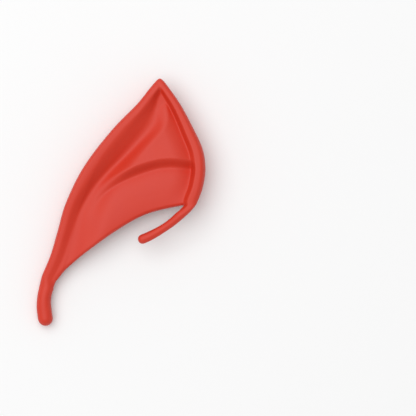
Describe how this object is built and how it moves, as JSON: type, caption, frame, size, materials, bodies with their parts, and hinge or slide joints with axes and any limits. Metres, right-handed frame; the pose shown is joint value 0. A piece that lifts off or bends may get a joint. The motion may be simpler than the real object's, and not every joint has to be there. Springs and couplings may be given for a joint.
{
  "type": "elf ear tip",
  "caption": "Pointed ear tip of soft moulded latex with a rolled rim, a fold across the front, a hollow pocket and two tails that hold it on a wearer's ear.",
  "frame": {"origin": "middle of the bounding box's base, on the surface that the ear tip lies on with its front face up", "axes": "+Y towards the pointed tip, +Z out of the front face, +X towards the front rim"},
  "size_m": [0.0746, 0.109, 0.0151],
  "materials": {
    "latex": "matte"
  },
  "bodies": {
    "root": {"ear_tip": "latex"}
  },
  "joints": []
}
